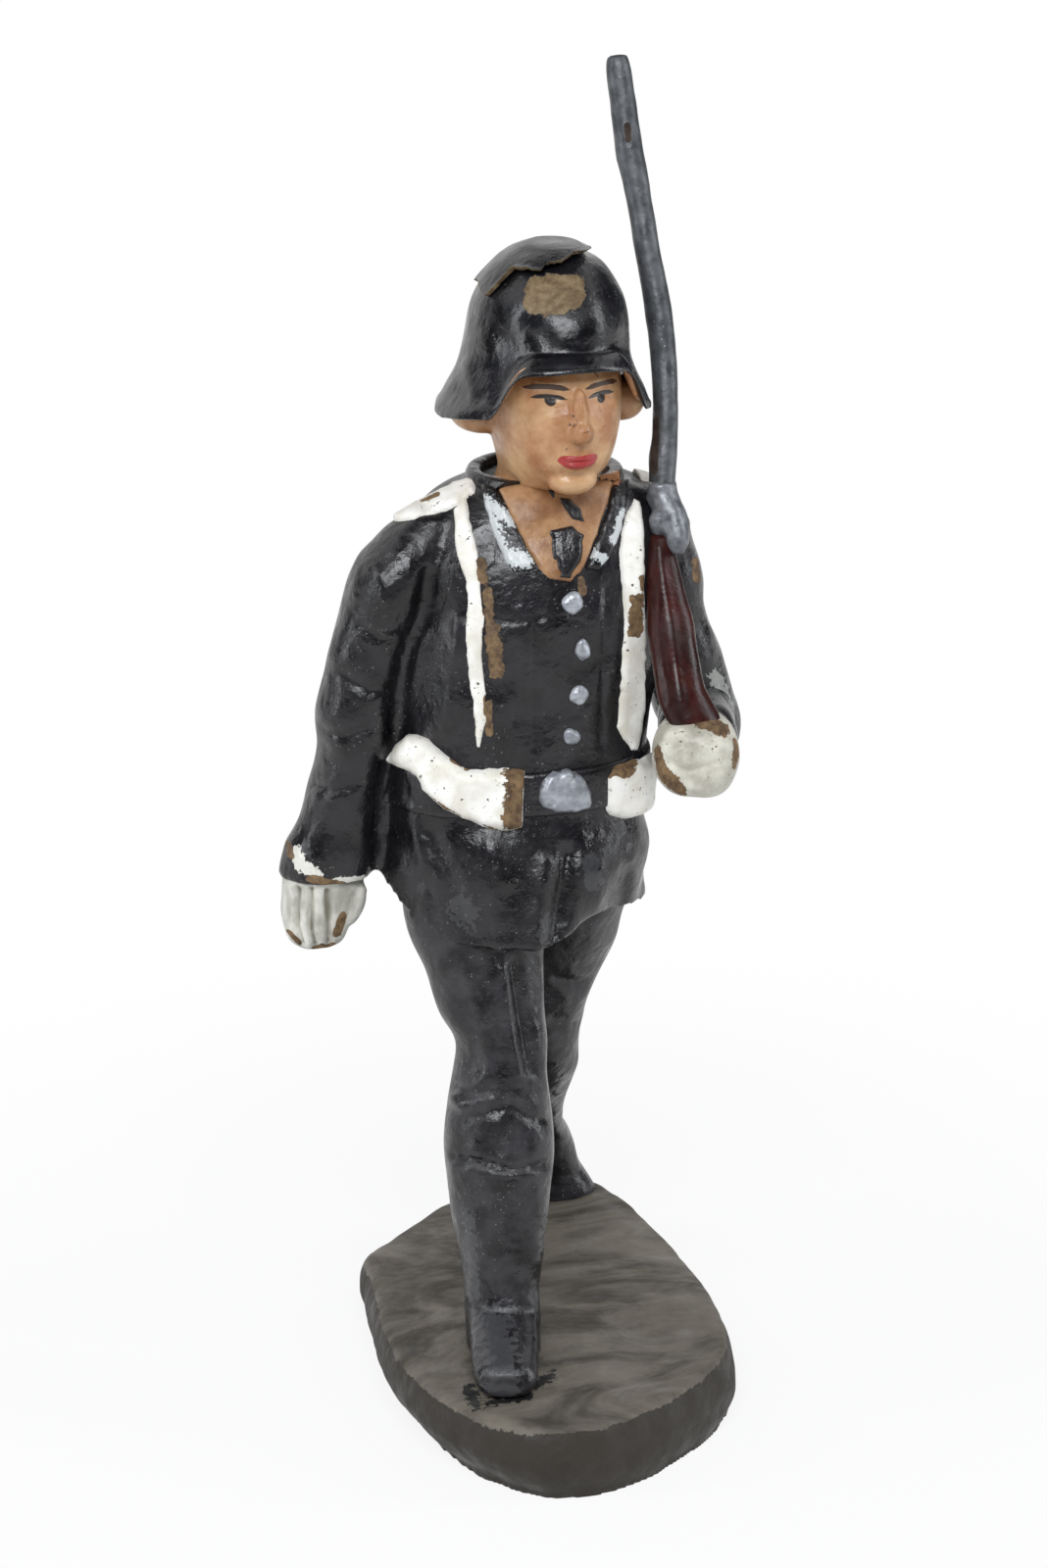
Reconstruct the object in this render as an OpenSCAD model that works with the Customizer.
// Toy soldier figure: moulded composition on a wire armature, marching with a rifle.
// Front is -Y, the figure's right is -X, up is +Z, origin under the middle of the base.

/* [Base] */
// Length of the base, front to back
base_l = 40; // [36:0.5:48]
// Width of the base
base_w = 23; // [20:0.2:26]
// Thickness of the base
base_t = 5; // [3.5:0.25:8]
// How far the wall swells out halfway up
base_swell = 0.5; // [0.2:0.05:1]
// How far the lower left edge is tucked in
base_tuck = 1.4; // [0.5:0.1:2]
// Shift of the base to the figure's right
base_shift = 0.6; // [0:0.1:1.5]
// Shift of the base to the front
base_fore = 0.65; // [0:0.05:1.5]

/* [Boots] */
// Height of a boot above the base
boot_h = 14; // [12:0.5:17]
// Width of a boot at the calf
boot_w = 6.8; // [5.5:0.1:8]
// Depth of a boot at the calf
boot_d = 7; // [5.5:0.1:8]
// Length of a foot
foot_l = 10.8; // [9:0.2:13]
// Width of a foot
foot_w = 4.6; // [3.8:0.1:6]
// Height of the instep
foot_h = 3.6; // [2.8:0.1:4.5]
// How far the front foot points outwards, in degrees
foot_out = 17; // [0:1:30]
// Right ankle to the side of the middle
right_ankle_x = 5; // [4:0.1:7]
// Right ankle ahead of the middle
right_step = 7.2; // [5:0.1:10]
// Left toe to the side of the middle
left_toe_x = 6.3; // [4.5:0.1:8]
// Left toe behind the middle
left_step = 15.4; // [12:0.1:17]
// Left boot top to the side of the middle
left_calf_x = 1.1; // [0.5:0.1:3]
// Left boot top behind the middle
left_calf_y = 7.4; // [5:0.1:9]

/* [Breeches] */
// Height of the breeches from boot top to hem of the tunic
breeches_h = 13; // [10:0.2:16]
// How far the legs run up inside the skirt
hip_rise = 4.5; // [3:0.1:6]
// Width of a thigh
thigh_w = 8; // [6.5:0.1:9]
// Depth of a thigh
thigh_d = 8.4; // [7:0.1:9.5]
// Right hip to the side of the middle
right_hip_x = 4.9; // [4:0.1:6]
// Right hip ahead of the middle
right_hip_y = 2.4; // [1:0.1:4]
// Left hip to the side of the middle
left_hip_x = 3; // [2:0.1:4.5]
// Left hip behind the middle
left_hip_y = 2.4; // [1:0.1:4]

/* [Tunic] */
// Height of the skirt below the belt
skirt_h = 9; // [7:0.2:12]
// Width of the skirt at the hem
hem_w = 17.2; // [15:0.2:20]
// Depth of the skirt at the hem
hem_d = 14.4; // [12:0.2:17]
// Height from belt to the base of the neck
chest_h = 19; // [16:0.2:22]
// Width of the chest
chest_w = 17.6; // [15:0.2:20]
// Depth of the chest
chest_d = 12.2; // [10:0.2:14]
// Shift of the waist to the figure's right
waist_x = 2; // [0:0.1:3]
// Shift of the neck to the figure's left
neck_x = 0.1; // [-1:0.1:1]
// Shift of the neck to the back
neck_y = 0.3; // [0:0.1:1]

/* [Arms] */
// Distance of the arm joints from the middle, at the armpit
arm_x = 7.6; // [6.5:0.1:9]
// Lean of the arm joints, in degrees
arm_lean = 18; // [8:1:30]
// Armpit below the base of the neck
armpit_drop = 7; // [5:0.1:9]
// Width of a sleeve
sleeve_w = 5; // [4.2:0.1:6]
// Depth of a sleeve
sleeve_d = 5.8; // [4.8:0.1:7]
// Height of the right cuff over the hem
cuff_rise = 3.2; // [2:0.1:5]
// Right cuff to the side of the middle
cuff_x = 14.2; // [12:0.1:16]
// Right cuff behind the middle
cuff_y = 1; // [0:0.1:3]
// Length of the hanging hand
hand_l = 5; // [4:0.1:6]
// Width of a hand
hand_w = 5.2; // [4.2:0.1:6.2]
// Thickness of a hand
hand_t = 4.4; // [3.5:0.1:5.5]
// Left elbow to the side of the middle
elbow_x = 10.4; // [9:0.1:12]
// Left elbow above the belt
elbow_rise = 2.6; // [1:0.1:4]
// Length of the left forearm to the wrist
forearm_l = 7.4; // [6:0.1:9]
// Inward turn of the left forearm, in degrees
forearm_in = 19; // [8:1:32]
// Length of the left fist
fist_l = 4.6; // [3.6:0.1:5.6]

/* [Head] */
// Width of the head
head_w = 8.4; // [7.6:0.1:9.6]
// Depth of the head
head_d = 12.2; // [10.5:0.1:13.5]
// Height of the head from the neck seat
head_h = 15.4; // [13.5:0.1:17]
// Radius of the neck stub
neck_r = 3.4; // [2.8:0.1:3.8]
// Depth of the neck stub in the tunic
neck_depth = 2.6; // [1.8:0.1:3.5]
// Space round the neck stub
neck_gap = 0.3; // [0.2:0.05:0.5]

/* [Helmet] */
// Height of the helmet from the side rim to the crown
helmet_h = 10.2; // [9:0.1:12]
// Top of the helmet above the crown of the head
helmet_over = 1.42; // [1.3:0.02:2]
// Width of the helmet across the side rims
helmet_w = 13; // [12:0.1:15]
// Length of the helmet from peak to neck guard
helmet_l = 17; // [15:0.1:19]
// Thickness of the helmet shell
helmet_t = 0.6; // [0.4:0.05:0.9]
// Rise of the front rim over the side rim
peak_rise = 4.2; // [2:0.1:5]
// Lean of the helmet to the figure's left
helmet_lean = 0.7; // [0:0.1:1]
// Thickness of the lifted crown skin
crown_t = 0.35; // [0.25:0.05:0.6]

/* [Rifle] */
// How far the stock leans back from the hand to the shoulder
stock_back = 4.4; // [3.6:0.1:5.2]
// Width of the butt
butt_w = 4.2; // [3.4:0.1:5]
// Thickness of the butt
butt_t = 2.2; // [1.6:0.1:3]
// Diameter of the action
action_d = 2.1; // [1.8:0.1:2.6]
// Diameter of the barrel rod
barrel_d = 1.6; // [1.2:0.1:2]
// Length of the barrel rod
barrel_l = 28; // [24:0.2:32]
// How far the barrel leans back at its end
barrel_back = 9.2; // [6:0.1:11]
// Butt to the side of the middle
butt_x = 6.3; // [5:0.1:7.5]
// Butt ahead of the middle
butt_y = 8; // [6:0.1:9]

/* [Trim] */
// Width of the belt
belt_w = 3; // [2:0.1:4]
// Thickness of the belt and the straps
belt_t = 0.35; // [0.25:0.05:0.6]
// Thickness of a pouch over the belt
pouch_t = 0.7; // [0.4:0.05:1.2]
// Height of a pouch
pouch_h = 3.8; // [3:0.1:5]
// Width of the buckle
buckle_w = 3.4; // [2.6:0.1:4.2]
// Height of the buckle
buckle_h = 2.6; // [2:0.1:3.2]
// Thickness of the buckle over the belt
buckle_t = 0.7; // [0.4:0.05:1]
// Width of a chest strap
strap_w = 1.8; // [1.2:0.1:2.6]
// Chest strap to the side of the middle
strap_x = 5; // [4:0.1:6]
// Diameter of a tunic button
button_d = 1.4; // [1:0.1:1.8]
// Height of a tunic button
button_t = 0.6; // [0.4:0.05:0.9]
// Width of a shoulder board
board_w = 2.6; // [1.8:0.1:3.4]
// Height of the collar
collar_h = 1.8; // [1.4:0.1:2.2]
// Thickness of the collar
collar_t = 0.9; // [0.6:0.05:1.3]
// Thickness of the shirt front
shirt_t = 0.3; // [0.2:0.05:0.5]
// Thickness of the necktie over the shirt
tie_t = 0.5; // [0.3:0.05:0.8]
// Length of the open neck below the collar
opening_h = 4; // [3:0.1:5]

/* [Wires] */
// Diameter of the limb wires
wire_d = 1.1; // [0.8:0.05:1.4]
// Diameter of the spine wire and neck pin
spine_d = 1.8; // [1.4:0.05:2.4]
// Space round a wire, per side
wire_play = 0.05; // [0.02:0.01:0.1]
// How deep a leg wire sits in the base
wire_seat = 3.2; // [2:0.1:4]

/* [Hidden] */
over = 0.5;
ring_n = 24;
fine_n = 36;
wire_n = 10;
squareness = 0.9;
$fn = 48;

hem_z = base_t + boot_h + breeches_h;
waist_z = hem_z + skirt_h;
neck_z = waist_z + chest_h;
seat_z = neck_z - neck_depth;
reach = skirt_h + chest_h + head_h;

// A point on the way from p to q.
function part_way(p, q, s) = p + (q - p) * s;

// Signed power, for rounded-square outlines.
function spow(v, e) = sign(v) * pow(abs(v), e);

// One ring: centre, half width, half depth, squareness, slope along x and along y.
function ring(c, rx, ry, n, e = 1, kx = 0, ky = 0) = [
    for (i = [0 : n - 1])
        let (x = rx * spow(cos(360 * i / n), e), y = ry * spow(sin(360 * i / n), e))
        c + [x, y, kx * x + ky * y]
];

// Rings from a to b: each row gives the way along, a side and a depth shift,
// the width, the depth and optional slopes, all as shares of w and d.
function limb_rings(a, b, w, d, rows, grow = 0, n = ring_n, e = squareness) = [
    for (r = rows)
        ring(part_way(a, b, r[0]) + [r[1] * w, r[2] * d, 0],
            r[3] * w / 2 + grow, r[4] * d / 2 + grow, n, e,
            len(r) > 5 ? r[5] : 0, len(r) > 6 ? r[6] : 0)
];

// A closed skin over a list of rings, capped at both ends.
module loft(rings) {
    n = len(rings[0]);
    m = len(rings);
    sides = [
        for (i = [0 : m - 2], j = [0 : n - 1], k = [0, 1])
            let (a = i * n + j, b = i * n + (j + 1) % n)
            k == 0 ? [a, a + n, b + n] : [a, b + n, b]
    ];
    polyhedron(
        points = [for (r = rings, p = r) p],
        faces = concat(sides, [[for (j = [0 : n - 1]) j]],
            [[for (j = [n - 1 : -1 : 0]) (m - 1) * n + j]]),
        convexity = 6);
}

// A round rod of diameter d along a list of points.
function unit(v) = v / norm(v);
function rod_way(p, i) =
    i == 0 ? unit(p[1] - p[0]) :
    i == len(p) - 1 ? unit(p[i] - p[i - 1]) :
    unit(unit(p[i + 1] - p[i]) + unit(p[i] - p[i - 1]));
function rod_ring(c, t, d, n) =
    let (s = abs(t[1]) > 0.9 ? [1, 0, 0] : [0, 1, 0], u = unit(cross(s, t)), v = cross(t, u))
    [for (i = [0 : n - 1]) c + d / 2 * (cos(360 * i / n) * u + sin(360 * i / n) * v)];
module rod(p, d, n = wire_n) {
    loft([for (i = [0 : len(p) - 1]) rod_ring(p[i], rod_way(p, i), d, n)]);
}

// Places on the legs.
right_ankle = [-right_ankle_x, -right_step, base_t];
right_boot_top = [-right_ankle_x + boot_w * 0.05, -right_step + boot_d * 0.22, base_t + boot_h];
right_hip = [-right_hip_x, -right_hip_y, hem_z + hip_rise];
left_toe = [left_toe_x, left_step, base_t];
left_boot_top = [left_calf_x, left_calf_y, base_t + boot_h];
left_hip = [left_hip_x, left_hip_y, hem_z + hip_rise];

right_boot_shares = [
    [0, 0, 0, 0.62, 0.78],
    [0.12, 0, 0.02, 0.62, 0.78],
    [0.24, 0, 0.02, 0.6, 0.7],
    [0.34, 0, 0, 0.7, 0.76],
    [0.52, 0, 0, 0.82, 0.88],
    [0.72, 0, 0, 0.94, 0.98],
    [0.9, 0, 0, 1.02, 1.02],
    [1, 0, 0, 1, 1]
];
left_boot_shares = [
    [0, 0, 0, 0.58, 0.6],
    [0.06, 0.01, 0.04, 0.62, 0.7],
    [0.18, 0.04, 0.28, 0.64, 0.74],
    [0.34, 0, 0.36, 0.62, 0.8],
    [0.52, -0.06, 0.24, 0.64, 0.76],
    [0.72, -0.05, 0.12, 0.78, 0.86],
    [0.9, 0, 0.04, 0.92, 0.96],
    [1, 0, 0, 0.94, 1]
];
breeches_shares = [
    [0, 0, 0, 0.8, 0.78],
    [0.08, 0, 0, 0.8, 0.78],
    [0.2, 0.02, 0, 0.72, 0.76],
    [0.32, 0.04, 0, 0.7, 0.8],
    [0.44, 0, 0, 0.82, 0.88],
    [0.6, -0.01, 0, 0.92, 0.96],
    [0.78, 0, 0, 1, 1],
    [1, 0, 0, 1, 1]
];
foot_shares = [
    [0, 0.6, 0.86],
    [0.1, 0.86, 0.94],
    [0.26, 0.94, 1],
    [0.44, 0.84, 1],
    [0.62, 0.96, 0.8],
    [0.8, 1, 0.62],
    [0.93, 0.8, 0.5],
    [1, 0.4, 0.3]
];

function right_boot_rings() = limb_rings(right_ankle, right_boot_top, boot_w, boot_d, right_boot_shares);
function left_boot_rings() = limb_rings(left_toe, left_boot_top, boot_w, boot_d, left_boot_shares);
function right_breeches_rings() = limb_rings(right_boot_top, right_hip, thigh_w, thigh_d, breeches_shares);
function left_breeches_rings() = limb_rings(left_boot_top, left_hip, thigh_w, thigh_d, breeches_shares);

// A flat-soled foot along +x, heel at the start.
module foot() {
    n = 12;
    rings = [
        for (r = foot_shares) [
            for (i = [0 : n - 1])
                let (a = 360 * i / n)
                [r[0] * foot_l, r[1] * foot_w / 2 * spow(cos(a), 0.8),
                    r[2] * foot_h / 2 * (1 + spow(sin(a), 0.6))]
        ]
    ];
    loft(rings);
}
module front_foot() {
    translate(right_ankle) rotate([0, 0, -90 - foot_out])
        translate([-foot_l * 0.28, 0, 0]) foot();
}

right_leg_line = [
    right_ankle - [0, 0, wire_seat],
    part_way(right_ankle, right_boot_top, 0.2),
    right_boot_top,
    part_way(right_boot_top, right_hip, 0.5),
    right_hip + [0, 0, hip_rise / 2]
];
left_leg_line = [
    left_toe - [0, 0, wire_seat],
    part_way(left_toe, left_boot_top, 0.06) + [0, boot_d * 0.06, 0],
    part_way(left_toe, left_boot_top, 0.34) + [0, boot_d * 0.34, 0],
    part_way(left_toe, left_boot_top, 0.72) + [0, boot_d * 0.12, 0],
    left_boot_top,
    part_way(left_boot_top, left_hip, 0.5),
    left_hip + [0, 0, hip_rise / 2]
];

// The tunic, from hem to waist and from waist to neck.
hem_c = [-waist_x * 0.95, -waist_x * 0.4, hem_z];
waist_c = [-waist_x, -waist_x * 0.17, waist_z];
neck_c = [neck_x, neck_y, neck_z];

skirt_shares = [
    [0, 0, 0, 1, 1, -0.05, 0.02],
    [0.3, -0.01, 0, 0.98, 0.97, -0.04, 0.01],
    [0.65, -0.01, 0, 0.96, 0.89]
];
chest_shares = [
    [0, 0, 0, 0.95, 0.97],
    [0.2, 0, 0, 0.95, 0.95],
    [0.42, 0, 0, 0.98, 1],
    [0.63, 0, 0, 1, 0.99],
    [0.78, 0, 0.01, 0.98, 0.91],
    [0.88, 0, 0.02, 0.92, 0.8],
    [0.94, 0, 0.02, 0.78, 0.72],
    [0.98, 0, 0.02, 0.62, 0.66],
    [1, 0, 0.01, 0.5, 0.6]
];
function chest_rings(grow = 0) = limb_rings(waist_c, neck_c, chest_w, chest_d, chest_shares, grow, fine_n);
function skirt_rings(grow = 0) = concat(
    limb_rings(hem_c, waist_c, hem_w, hem_d, skirt_shares, grow, fine_n), [chest_rings(grow)[0]]);
function tunic_rings(grow = 0) = concat(
    limb_rings(hem_c, waist_c, hem_w, hem_d, skirt_shares, grow, fine_n), chest_rings(grow));

// A layer of the tunic's shape between two distances from its skin, kept inside the children.
module tunic_layer(inner, outer) {
    intersection() {
        difference() {
            loft(tunic_rings(outer));
            loft(tunic_rings(inner));
        }
        children();
    }
}

// The chest's surface: how far forward (side -1) or back (side 1) it is at x, a share up.
function chest_share(up, column) = lookup(up, [for (r = chest_shares) [r[0], r[column]]]);
function chest_y(x, up, grow, side) =
    let (
        c = part_way(waist_c, neck_c, up) + [chest_share(up, 1) * chest_w, chest_share(up, 2) * chest_d, 0],
        q = min(0.97, abs(x - c[0]) / (chest_share(up, 3) * chest_w / 2 + grow))
    )
    c[1] + side * (chest_share(up, 4) * chest_d / 2 + grow) * pow(1 - pow(q, 2 / squareness), squareness / 2);

// A thin sheet lying on the chest: each row gives its left edge, right edge and share up.
across_shares = [0, 0.25, 0.5, 0.75, 1];
function sheet_edge(r, grow, side) = [
    for (t = across_shares)
        let (x = r[0] + (r[1] - r[0]) * t)
        [x, chest_y(x, r[2], grow, side), waist_z + r[2] * chest_h]
];
function backwards(list) = [for (i = [len(list) - 1 : -1 : 0]) list[i]];
module chest_sheet(rows, inner, outer, side = -1) {
    loft([
        for (r = rows)
            side < 0 ? concat(sheet_edge(r, outer, side), backwards(sheet_edge(r, inner, side)))
                : concat(sheet_edge(r, inner, side), backwards(sheet_edge(r, outer, side)))
    ]);
}

// A closed band from two stacks of rings, an outer one and an inner one.
module band(outer, inner) {
    rings = concat(outer, backwards(inner));
    n = len(rings[0]);
    m = len(rings);
    polyhedron(
        points = [for (r = rings, p = r) p],
        faces = [
            for (i = [0 : m - 1], j = [0 : n - 1], k = [0, 1])
                let (
                    a = i * n + j,
                    b = i * n + (j + 1) % n,
                    c = ((i + 1) % m) * n + (j + 1) % n,
                    d = ((i + 1) % m) * n + j)
                k == 0 ? [a, d, c] : [a, c, b]
        ],
        convexity = 6);
}
function ring_between(a, b, t) = [for (i = [0 : len(a) - 1]) part_way(a[i], b[i], t)];

// An outline drawn in the front view and pushed through the front half of the figure.
module front_prism(outline) {
    translate([0, 0, waist_z]) rotate([90, 0, 0]) linear_extrude(chest_d) polygon(outline);
}
// Everything outside the leaning joint plane of one arm.
module arm_side(side) {
    mirror([side < 0 ? 1 : 0, 0, 0])
        translate([arm_x, 0, neck_z - armpit_drop]) rotate([0, -arm_lean, 0])
            translate([0, -reach, -reach]) cube([reach, 2 * reach, 2 * reach]);
}

// Everything on the body's side of that plane, down to the belt.
module body_side(side) {
    mirror([side < 0 ? 1 : 0, 0, 0])
        translate([arm_x, 0, neck_z - armpit_drop]) rotate([0, -arm_lean, 0])
            translate([-reach, -reach, -chest_h * 0.76]) cube([reach, 2 * reach, 2 * reach]);
}

// Places on the arms.
cuff_c = [-cuff_x, cuff_y, hem_z + cuff_rise];
right_shoulder = [-chest_w * 0.4, -chest_d * 0.04, neck_z - armpit_drop * 0.26];
left_shoulder = [chest_w * 0.385, chest_d * 0.03, neck_z - armpit_drop * 0.38];
left_sleeve_top = [chest_w * 0.356, chest_d * 0.026, neck_z - armpit_drop * 0.106];
elbow_c = [elbow_x, chest_d * 0.06, waist_z + elbow_rise];
fingertip_c = cuff_c - [hand_w * 0.12, 0, hand_l];

right_sleeve_shares = [
    [0, 0, 0, 1.12, 0.98],
    [0.08, 0, 0, 1.12, 0.98],
    [0.16, -0.04, 0, 0.96, 0.94],
    [0.26, -0.08, 0, 0.86, 0.92],
    [0.36, -0.12, 0, 0.94, 0.96],
    [0.46, -0.24, 0, 1, 1],
    [0.6, -0.34, 0, 0.92, 1],
    [0.74, -0.32, 0, 1.06, 1.08],
    [0.86, -0.32, 0, 1.06, 1.06],
    [0.95, -0.2, 0, 0.9, 0.84],
    [1, -0.08, 0, 0.56, 0.5]
];
left_sleeve_shares = [
    [-0.175, 0, 0, 0.6, 0.66],
    [-0.105, 0, 0, 0.92, 0.96],
    [0, 0, 0, 1.08, 1.1],
    [0.175, -0.04, 0, 1.04, 1.06],
    [0.395, -0.08, 0, 1, 1.04],
    [0.658, -0.04, 0, 1.04, 1.06],
    [0.842, -0.02, 0, 1.04, 1],
    [0.947, -0.06, 0, 0.8, 0.78],
    [1, -0.1, 0, 0.5, 0.5]
];
forearm_shares = [
    [0.16, 0, 0, 1, 0.9],
    [0.4, 0, 0, 1, 0.9],
    [0.8, 0, 0, 1.02, 0.9],
    [1, 0, 0, 1.04, 0.92]
];
right_hand_shares = [
    [0, 0, 0, 0.4, 0.5],
    [0.1, -0.02, 0, 0.64, 0.76],
    [0.34, 0, 0, 0.82, 0.94],
    [0.7, 0, 0, 0.96, 1],
    [1, 0, 0, 1, 1]
];
fist_shares = [
    [0, 0, 0, 0.88, 1.02],
    [0.2, 0, 0, 1, 1.14],
    [0.5, 0, 0, 1.02, 1.18],
    [0.78, 0, 0, 0.9, 1.04],
    [0.93, 0, 0, 0.66, 0.74],
    [1, 0, 0, 0.4, 0.44]
];

module right_sleeve_shape() {
    loft(limb_rings(cuff_c, right_shoulder, sleeve_w, sleeve_d, right_sleeve_shares));
}
module left_sleeve_shape() {
    loft(limb_rings(elbow_c, left_sleeve_top, sleeve_w, sleeve_d, left_sleeve_shares));
}

// The forearm's own frame: out of the elbow along its length.
module along_forearm() {
    translate(elbow_c) rotate([90, 0, -forearm_in]) children();
}
function forearm_point(s) = elbow_c
    + [-sin(forearm_in), -cos(forearm_in), 0] * s * forearm_l;

right_arm_line = [
    right_shoulder + [chest_w * 0.14, 0, -armpit_drop * 0.3],
    right_shoulder + [-sleeve_w * 0.3, 0, -armpit_drop * 0.4],
    part_way(cuff_c, right_shoulder, 0.6) - [sleeve_w * 0.2, 0, 0],
    part_way(cuff_c, right_shoulder, 0.36),
    cuff_c,
    part_way(cuff_c, fingertip_c, 0.6)
];
left_arm_line = [
    left_shoulder - [chest_w * 0.14, 0, armpit_drop * 0.1],
    left_shoulder - [0, 0, armpit_drop * 0.14],
    part_way(elbow_c, left_shoulder, 0.45),
    elbow_c,
    forearm_point(0.5),
    forearm_point(1.2)
];

// The head on its neck pin; the first rows are the round neck stub.
head_c = [neck_x, neck_y, seat_z];
crown_c = head_c + [0, 0, head_h];
neck_w_share = 2 * neck_r / head_w;
neck_d_share = 2 * neck_r / head_d;
head_shares = [
    [0, 0, 0, neck_w_share, neck_d_share],
    [0.2, 0, 0, neck_w_share, neck_d_share],
    [0.225, 0, -0.1, 0.8, 0.76],
    [0.29, 0, -0.14, 0.9, 0.9],
    [0.4, 0, -0.13, 1, 0.98],
    [0.56, 0, -0.1, 1, 0.98],
    [0.72, 0, -0.06, 0.9, 0.9],
    [0.86, 0, -0.04, 0.72, 0.72],
    [0.95, 0, -0.03, 0.5, 0.5],
    [1, 0, -0.03, 0.25, 0.25]
];

// The helmet: rows of height, width, length and forward shift; the rim rises at the front.
helmet_c = [-neck_x, neck_y, seat_z + head_h + helmet_over - helmet_h];
helmet_shares = [
    [0, 1, 1, -0.01, 1],
    [0.12, 0.92, 0.96, -0.01, 0.95],
    [0.245, 0.825, 0.89, -0.01, 0.8],
    [0.365, 0.775, 0.83, 0, 0.5],
    [0.48, 0.76, 0.79, 0, 0.2],
    [0.6, 0.735, 0.76, 0, 0.05],
    [0.725, 0.68, 0.69, 0, 0],
    [0.835, 0.57, 0.58, 0, 0],
    [0.925, 0.43, 0.44, 0, 0],
    [1, 0.19, 0.2, 0, 0]
];
// How much of the rim's rise applies at one angle: a slow climb and then a step up to the peak.
function rise_at(a) =
    let (f = max(0, -sin(a)), t = max(0, min(1, (f - 0.62) / 0.26)))
    0.4 * f + 0.6 * t * t * (3 - 2 * t);
function helmet_ring(r, grow, slope = 0) = [
    for (i = [0 : fine_n - 1])
        let (
            a = 360 * i / fine_n,
            x = (r[1] * helmet_w / 2 + grow) * cos(a) + r[0] * helmet_lean,
            y = (r[2] * helmet_l / 2 + grow) * sin(a) + r[3] * helmet_l,
            z = r[0] * helmet_h + rise_at(a) * r[4] * peak_rise * (1 - r[0]) + slope * x
        )
        helmet_c + [x, y, z + (r[0] > 0.5 ? grow * (2 * r[0] - 1) : 0)]
];
crown_from = 6;

// The rifle runs up the left front of the chest and back over the shoulder.
butt_c = [butt_x, -butt_y, waist_z + elbow_rise + hand_w * 0.53];
wrist_c = [butt_x + butt_w * 0.193, stock_back - butt_y, neck_z - armpit_drop * 0.424];
muzzle_c = wrist_c + [-barrel_d * 0.55, barrel_back, barrel_l];
stock_shares = [
    [0, 0, 0, 1, 1],
    [0.16, -0.02, 0, 0.96, 1],
    [0.4, -0.03, 0, 0.86, 0.94],
    [0.66, -0.02, 0, 0.76, 0.86],
    [0.82, 0, 0, 0.66, 0.8],
    [0.92, 0.02, 0, 0.5, 0.74],
    [1, 0.02, 0, 0.46, 0.72]
];
barrel_shares = [0.06, 0.2, 0.36, 0.54, 0.72, 0.88, 1];
barrel_bow_shares = [0, 0.2, 0.32, 0.36, 0.28, 0.14, 0];
barrel_line = [
    for (i = [0 : len(barrel_shares) - 1])
        part_way(wrist_c, muzzle_c, barrel_shares[i])
            + [barrel_bow_shares[i] * barrel_d * 1.4, -barrel_bow_shares[i] * barrel_back * 0.2, 0]
];
action_line = [wrist_c, barrel_line[0], part_way(barrel_line[0], barrel_line[1], 0.3)];

// Sub-parts.

// The hand-pressed outline, as shares of half the width and half the length, from the left
// rear corner round the front.
base_outline_shares = [
    [-0.765, 0.5], [-0.843, 0.3], [-0.913, 0.06], [-0.965, -0.18], [-0.974, -0.4], [-0.913, -0.63],
    [-0.765, -0.84], [-0.504, -0.962], [-0.209, -0.983], [0.07, -0.933], [0.365, -0.838], [0.626, -0.698],
    [0.826, -0.528], [0.913, -0.318], [0.965, -0.048], [0.974, 0.213], [0.93, 0.503], [0.878, 0.753],
    [0.8, 0.923], [0.574, 0.983], [0.226, 0.943], [-0.122, 0.838], [-0.435, 0.683]
];
// Rows from the underside up: height, swell and tuck.
base_row_shares = [
    [0, -1, 1],
    [0.06, -0.3, 0.86],
    [0.28, 0.7, 0.43],
    [0.52, 1, 0.07],
    [0.8, 0.4, 0],
    [0.93, -0.1, 0],
    [0.985, -0.6, 0],
    [1, -1.6, 0]
];
// A closed smooth line through points, with n steps from each to the next.
function smooth_loop(p, n) = [
    for (i = [0 : len(p) - 1], k = [0 : n - 1])
        let (
            m = len(p), t = k / n,
            a = p[(i + m - 1) % m], b = p[i], c = p[(i + 1) % m], d = p[(i + 2) % m]
        )
        (2 * b + (c - a) * t + (2 * a - 5 * b + 4 * c - d) * t * t + (3 * b - a - 3 * c + d) * t * t * t) / 2
];
base_curve = smooth_loop([for (q = base_outline_shares) [q[0] * base_w / 2, q[1] * base_l / 2]], 3);
function base_ring(r) = [
    for (q = base_curve)
        let (
            out = 1 + r[1] * base_swell / norm(q),
            in = r[2] * base_tuck * max(0, min(1, -q[0] / (base_w * 0.4)))
        )
        [q[0] * out + in - base_shift, q[1] * out + in * 0.4 - base_fore, r[0] * base_t]
];
module base() {
    color([0.35, 0.33, 0.29])
    difference() {
        loft([for (r = base_row_shares) base_ring(r)]);
        rod(right_leg_line, wire_d + 2 * wire_play);
        rod(left_leg_line, wire_d + 2 * wire_play);
    }
}
module right_leg_wire() {
    color([0.5, 0.5, 0.52]) rod(right_leg_line, wire_d);
}
module left_leg_wire() {
    color([0.5, 0.5, 0.52]) rod(left_leg_line, wire_d);
}
spine_from = waist_z - skirt_h * 0.3;
spine_top = seat_z + head_h * 0.5;
module spine_line(d) {
    translate([neck_x, neck_y, spine_from]) cylinder(h = spine_top - spine_from, d = d);
}
module spine_bore() {
    translate([neck_x, neck_y, spine_from - wire_play])
        cylinder(h = spine_top - spine_from + 4 * wire_play, d = spine_d + 2 * wire_play);
}
module spine_wire() {
    color([0.5, 0.5, 0.52]) spine_line(spine_d);
}
module right_arm_wire() {
    color([0.5, 0.5, 0.52]) rod(right_arm_line, wire_d);
}
module left_arm_wire() {
    color([0.5, 0.5, 0.52]) rod(left_arm_line, wire_d);
}
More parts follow.
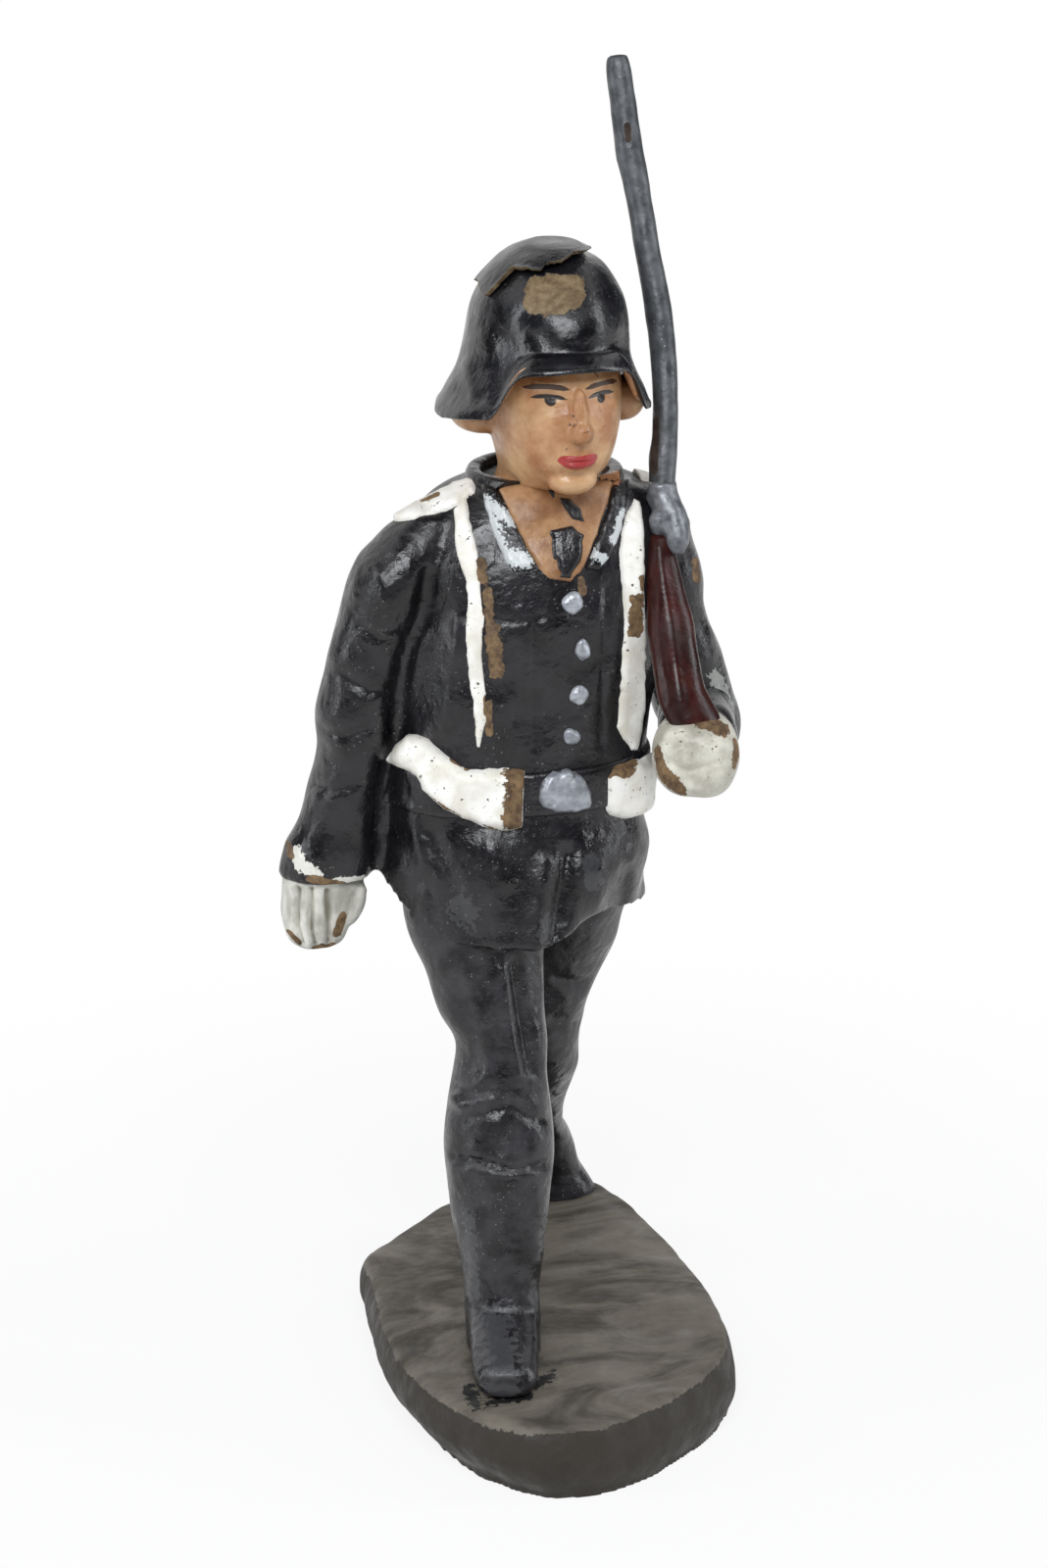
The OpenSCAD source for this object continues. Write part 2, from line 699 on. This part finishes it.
module right_boot() {
    color([0.13, 0.13, 0.14])
    difference() {
        union() {
            loft(right_boot_rings());
            front_foot();
        }
        rod(right_leg_line, wire_d + 2 * wire_play);
    }
}
module left_boot() {
    color([0.13, 0.13, 0.14])
    difference() {
        loft(left_boot_rings());
        rod(left_leg_line, wire_d + 2 * wire_play);
    }
}
module right_breeches() {
    color([0.16, 0.16, 0.17])
    difference() {
        loft(right_breeches_rings());
        rod(right_leg_line, wire_d + 2 * wire_play);
    }
}
module left_breeches() {
    color([0.16, 0.16, 0.17])
    difference() {
        loft(left_breeches_rings());
        rod(left_leg_line, wire_d + 2 * wire_play);
    }
}
module tunic_skirt() {
    color([0.15, 0.15, 0.16])
    difference() {
        loft(skirt_rings());
        loft(right_breeches_rings());
        loft(left_breeches_rings());
        rod(right_leg_line, wire_d + 2 * wire_play);
        rod(left_leg_line, wire_d + 2 * wire_play);
        spine_bore();
    }
}
module neck_socket() {
    translate(head_c) cylinder(h = neck_depth + collar_h + over, r = neck_r + neck_gap);
}
module tunic_body() {
    color([0.15, 0.15, 0.16])
    difference() {
        loft(chest_rings());
        arm_side(1);
        arm_side(-1);
        neck_socket();
        spine_bore();
        rod(right_arm_line, wire_d + 2 * wire_play);
        rod(left_arm_line, wire_d + 2 * wire_play);
    }
}
opening_w_share = 1.5;
opening_outline = [
    [neck_x, chest_h - opening_h - neck_depth / 2],
    [neck_x + neck_r * opening_w_share / 2, chest_h - neck_depth / 2],
    [neck_x + neck_r, chest_h + collar_h],
    [neck_x - neck_r, chest_h + collar_h],
    [neck_x - neck_r * opening_w_share / 2, chest_h - neck_depth / 2]
];
module collar_ring() {
    translate([neck_x, neck_y, seat_z + neck_depth * 0.4])
        cylinder(h = collar_h, r = neck_r + neck_gap + collar_t);
}
module collar() {
    color([0.12, 0.12, 0.13])
    difference() {
        collar_ring();
        loft(tunic_rings(0));
        neck_socket();
        front_prism(opening_outline);
    }
}
// The open neck shows a wedge of shirt; the tie hangs on it.
opening_up = 1 - neck_depth * 0.5 / chest_h;
opening_down = opening_up - opening_h / chest_h;
shirt_shares = [0, 0.3, 0.6, 1];
module shirt_front() {
    color([0.62, 0.42, 0.3])
    chest_sheet([
        for (t = shirt_shares)
            let (half = neck_r * (0.08 + 0.7 * t))
            [neck_x - half, neck_x + half, opening_down + (opening_up - opening_down) * t]
    ], wire_play, shirt_t);
}
tie_shares = [[0.04, 0.04], [0.3, 0.3], [0.18, 0.66], [0.3, 0.8], [0.3, 0.94]];
module necktie() {
    color([0.1, 0.1, 0.11])
    chest_sheet([
        for (t = tie_shares)
            [neck_x - t[0] * neck_r,
             neck_x + t[0] * neck_r,
             opening_down + (opening_up - opening_down) * t[1]]
    ], shirt_t + wire_play, shirt_t + tie_t);
}
// The belt goes right round the waist, a little below and a little above it.
belt_low_share = 0.4;
function belt_rings(grow) =
    let (
        all = tunic_rings(grow),
        w = len(skirt_shares),
        low = belt_w * belt_low_share / (skirt_h * (1 - skirt_shares[w - 1][0])),
        high = belt_w * (1 - belt_low_share) / (chest_h * chest_shares[1][0])
    )
    [ring_between(all[w], all[w - 1], low), all[w], ring_between(all[w], all[w + 1], high)];
module belt() {
    color([0.2, 0.2, 0.21]) band(belt_rings(belt_t), belt_rings(wire_play));
}
module belt_buckle() {
    color([0.6, 0.6, 0.62])
    tunic_layer(belt_t + wire_play, belt_t + buckle_t)
        front_prism([
            for (s = buckle_shares)
                [-waist_x * 0.35 + s[0] * buckle_w, belt_w * 0.1 + s[1] * buckle_h]
        ]);
}
buckle_shares = [
    [-0.5, -0.5], [0.5, -0.5], [0.5, 0.2], [0.36, 0.42], [0.14, 0.5], [-0.14, 0.5], [-0.36, 0.42], [-0.5, 0.2]
];
right_pouch_shares = [
    [-1.2, 0.56], [-0.96, 0.02], [-0.62, -0.38], [-0.42, -0.52], [-0.36, -0.46],
    [-0.36, 0.5], [-0.5, 0.56], [-0.8, 0.56], [-1.02, 0.92]
];
left_pouch_shares = [
    [0.22, -0.48], [0.5, -0.6], [0.72, -0.5], [0.74, 0.2], [0.56, 0.42], [0.22, 0.5]
];
module pouch(shares) {
    difference() {
        tunic_layer(belt_t + wire_play, belt_t + pouch_t)
            front_prism([for (s = shares) [s[0] * chest_w / 2, s[1] * pouch_h]]);
        arm_side(1);
        arm_side(-1);
    }
}
module right_pouch() {
    color([0.85, 0.84, 0.78]) pouch(right_pouch_shares);
}
module left_pouch() {
    color([0.85, 0.84, 0.78]) pouch(left_pouch_shares);
}
strap_low = (belt_w * (1 - belt_low_share) + wire_play) / chest_h;
strap_shares = [0, 0.2, 0.42, 0.63, 0.78, 0.88, 0.935];
// The straps run straight up the chest; their feet narrow to a blunt point.
module chest_strap(side) {
    x = side * strap_x - waist_x * 0.42;
    chest_sheet([
        for (t = strap_shares)
            let (up = max(t, strap_low), half = t == 0 ? strap_w * 0.3 : strap_w / 2)
            [x - half, x + half, up]
    ], wire_play, belt_t);
}
module right_strap() {
    color([0.85, 0.84, 0.78]) chest_strap(-1);
}
module left_strap() {
    color([0.85, 0.84, 0.78]) chest_strap(1);
}
// Behind, both straps lean in and meet side by side above the belt.
module back_strap() {
    color([0.85, 0.84, 0.78])
    for (side = [-1, 1])
        chest_sheet([
            for (t = strap_shares)
                let (
                    up = max(t, strap_low),
                    way = (up - strap_low) / (1 - strap_low),
                    foot = -waist_x * 0.5 + side * (strap_w / 2 + wire_play),
                    x = foot + (side * strap_x - foot) * way
                )
                [x - strap_w / 2, x + strap_w / 2, up]
        ], wire_play, belt_t, 1);
}
// A board lies along the shoulder line, from the collar out over the sleeve head.
board_in = [neck_r + neck_gap + collar_t + belt_t, 0, neck_z + belt_t * 1.3];
board_out = [chest_w * 0.51, 0, neck_z - armpit_drop * 0.17];
board_shares = [0, 0.5, 1];
board_corner_shares = [[-1, -1], [1, -1], [1, 1], [-1, 1]];
module shoulder_board(side) {
    mirror([side < 0 ? 1 : 0, 0, 0])
        loft([
            for (t = board_shares)
                let (c = part_way(board_in, board_out, t))
                [for (q = board_corner_shares) c + [0, q[0] * board_w / 2, q[1] * belt_t]]
        ]);
}
module right_shoulder_board() {
    color([0.85, 0.84, 0.78]) shoulder_board(-1);
}
module left_shoulder_board() {
    color([0.85, 0.84, 0.78]) shoulder_board(1);
}
// The buttons divide the front from the belt up to just under the open neck.
button_top = opening_down - button_d * 0.83 / chest_h;
button_shares = [0.288, 0.53, 0.758, 1];
module tunic_buttons() {
    color([0.6, 0.6, 0.62])
    tunic_layer(0, button_t)
        for (s = button_shares)
            translate([neck_x * 0.4, -chest_d * 0.25, waist_z + s * button_top * chest_h]) rotate([90, 0, 0])
                cylinder(h = chest_d, d = button_d, $fn = 16);
}
module right_sleeve() {
    color([0.15, 0.15, 0.16])
    difference() {
        right_sleeve_shape();
        body_side(-1);
        loft(belt_rings(belt_t + wire_play));
        rod(right_arm_line, wire_d + 2 * wire_play);
    }
}
module right_glove() {
    color([0.85, 0.84, 0.78])
    difference() {
        loft(limb_rings(fingertip_c, cuff_c, hand_w, hand_t, right_hand_shares));
        rod(right_arm_line, wire_d + 2 * wire_play);
    }
}
module left_upper_sleeve() {
    color([0.15, 0.15, 0.16])
    difference() {
        left_sleeve_shape();
        body_side(1);
        rod(left_arm_line, wire_d + 2 * wire_play);
    }
}
module left_fore_sleeve() {
    color([0.15, 0.15, 0.16])
    difference() {
        along_forearm() loft(limb_rings([0, 0, 0], [0, 0, forearm_l], sleeve_w, sleeve_d, forearm_shares));
        left_sleeve_shape();
        rod(left_arm_line, wire_d + 2 * wire_play);
    }
}
module left_glove() {
    color([0.85, 0.84, 0.78])
    difference() {
        along_forearm() translate([0, 0, forearm_l])
            loft(limb_rings([0, 0, 0], [0, 0, fist_l], hand_w, hand_t, fist_shares));
        rod(left_arm_line, wire_d + 2 * wire_play);
    }
}
module head() {
    color([0.75, 0.5, 0.35])
    difference() {
        loft(limb_rings(head_c, crown_c, head_w, head_d, head_shares, e = 1));
        spine_bore();
    }
}
module helmet() {
    color([0.12, 0.12, 0.13])
    loft(concat(
        [for (i = [len(helmet_shares) - 1 : -1 : 0]) helmet_ring(helmet_shares[i], -helmet_t)],
        [for (r = helmet_shares) helmet_ring(r, 0)]));
}
module helmet_crown() {
    color([0.2, 0.19, 0.19])
    loft(concat(
        [for (i = [len(helmet_shares) - 1 : -1 : crown_from]) helmet_ring(helmet_shares[i], wire_play)],
        [for (i = [crown_from : len(helmet_shares) - 1])
            helmet_ring(helmet_shares[i], wire_play + crown_t)]));
}
module stock_shape() {
    loft(limb_rings(butt_c, wrist_c, butt_w, butt_t, stock_shares));
}
module rifle_stock() {
    color([0.3, 0.13, 0.11])
    difference() {
        stock_shape();
        loft(tunic_rings(belt_t));
        left_sleeve_shape();
    }
}
module rifle_action() {
    color([0.55, 0.55, 0.57])
    difference() {
        rod(action_line, action_d, 12);
        stock_shape();
        loft(tunic_rings(belt_t));
        left_sleeve_shape();
        rod(barrel_line, barrel_d, 14);
    }
}
module rifle_barrel() {
    color([0.5, 0.5, 0.51]) rod(barrel_line, barrel_d, 14);
}

base();
right_leg_wire();
left_leg_wire();
spine_wire();
right_arm_wire();
left_arm_wire();
right_boot();
left_boot();
right_breeches();
left_breeches();
tunic_skirt();
tunic_body();
collar();
shirt_front();
necktie();
belt();
belt_buckle();
right_pouch();
left_pouch();
right_strap();
left_strap();
back_strap();
right_shoulder_board();
left_shoulder_board();
tunic_buttons();
right_sleeve();
right_glove();
left_upper_sleeve();
left_fore_sleeve();
left_glove();
head();
helmet();
helmet_crown();
rifle_stock();
rifle_action();
rifle_barrel();
